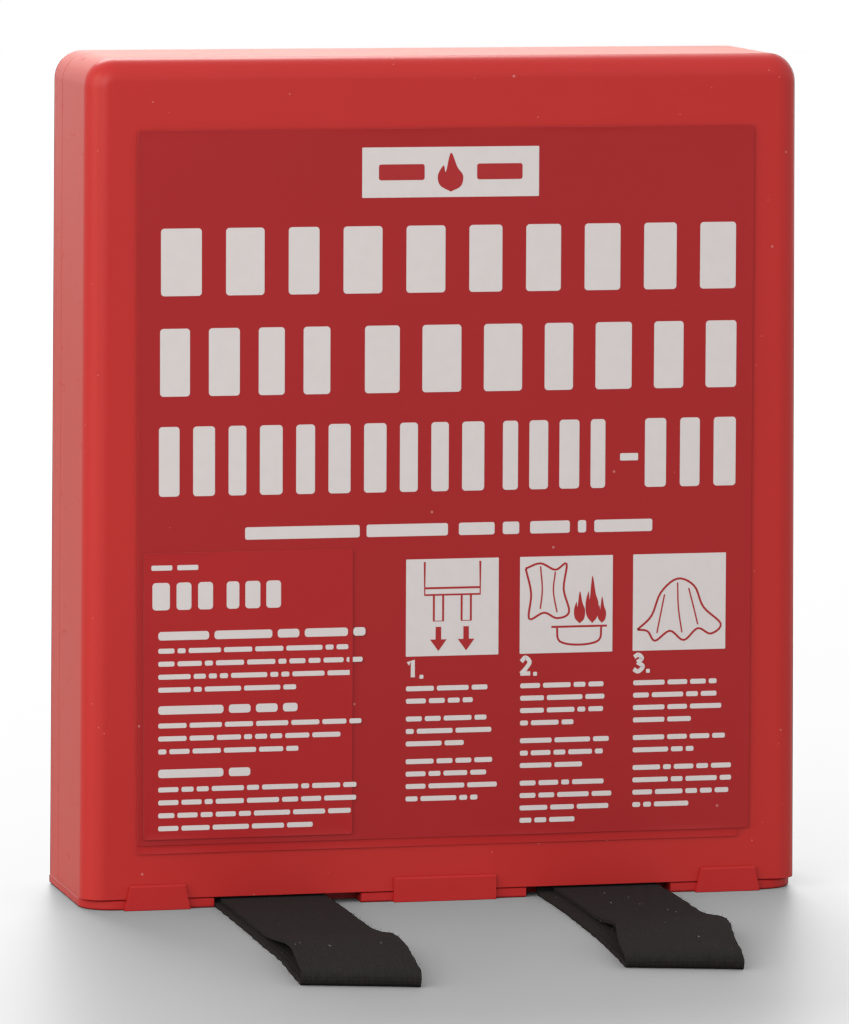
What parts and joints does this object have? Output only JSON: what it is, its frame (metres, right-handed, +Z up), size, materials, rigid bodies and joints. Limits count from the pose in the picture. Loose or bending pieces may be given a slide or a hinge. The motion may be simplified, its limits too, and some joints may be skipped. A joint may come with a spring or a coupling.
{
  "type": "fire blanket",
  "caption": "Fire blanket folded in a hard red wall case with a hinged bottom lid and black webbing pull tapes hanging out below.",
  "frame": {"origin": "on the ground, below the middle of the case's depth and width, on the underside of the bottom lid", "axes": "+X to the right seen from the front, -Y to the front where the label and the tapes are, +Z up"},
  "size_m": [0.2612, 0.2547, 0.3],
  "materials": {
    "front_shell": "satin-gloss moulded polypropylene, red",
    "back_shell": "satin-gloss moulded polypropylene, red",
    "bottom_lid": "satin moulded polypropylene, red",
    "pin_steel": "drawn wire",
    "glass_cloth": "woven glass cloth, off-white",
    "webbing": "fuzzy woven webbing, black",
    "thread": "sewing thread, off-white",
    "label_film": "satin film, dark red",
    "front_label": "satin printed film, dark red with white print",
    "type_sticker": "satin printed film, dark red with white print"
  },
  "bodies": {
    "housing": {"front_shell": "front_shell", "back_shell": "back_shell", "hinge_pin_left": "pin_steel", "hinge_pin_right": "pin_steel", "label_film": "label_film", "front_label": "front_label", "type_sticker": "type_sticker"},
    "lid": {"bottom_lid": "bottom_lid"},
    "blanket": {"folded_blanket": "glass_cloth", "tape_tail_left": "webbing", "tape_tail_right": "webbing", "tape_stitching_left": "thread", "tape_stitching_right": "thread"},
    "tape_left": {"tape_loop_left": "webbing"},
    "tape_right": {"tape_loop_right": "webbing"}
  },
  "joints": [
    {"name": "blanket_slide", "type": "slide", "parent": "housing", "child": "blanket", "axis": [0, 0, -1], "range_m": [0, 0.064]},
    {"name": "lid_hinge", "type": "hinge", "parent": "housing", "child": "lid", "pos_m": [0, 0.0328, 0.0022], "axis": [1, 0, 0], "range_deg": [0, 90]},
    {"name": "tape_left_hinge", "type": "hinge", "parent": "blanket", "child": "tape_left", "pos_m": [-0.0638, -0.0368, 0.00155], "axis": [1, 0, 0], "range_deg": [-30, 90]},
    {"name": "tape_right_hinge", "type": "hinge", "parent": "blanket", "child": "tape_right", "pos_m": [0.0555, -0.0368, 0.00155], "axis": [1, 0, 0], "range_deg": [-30, 90]}
  ],
  "couplings": [
    {"joint": "lid_hinge", "follows": "blanket_slide", "rad_per_m": 24.54}
  ]
}
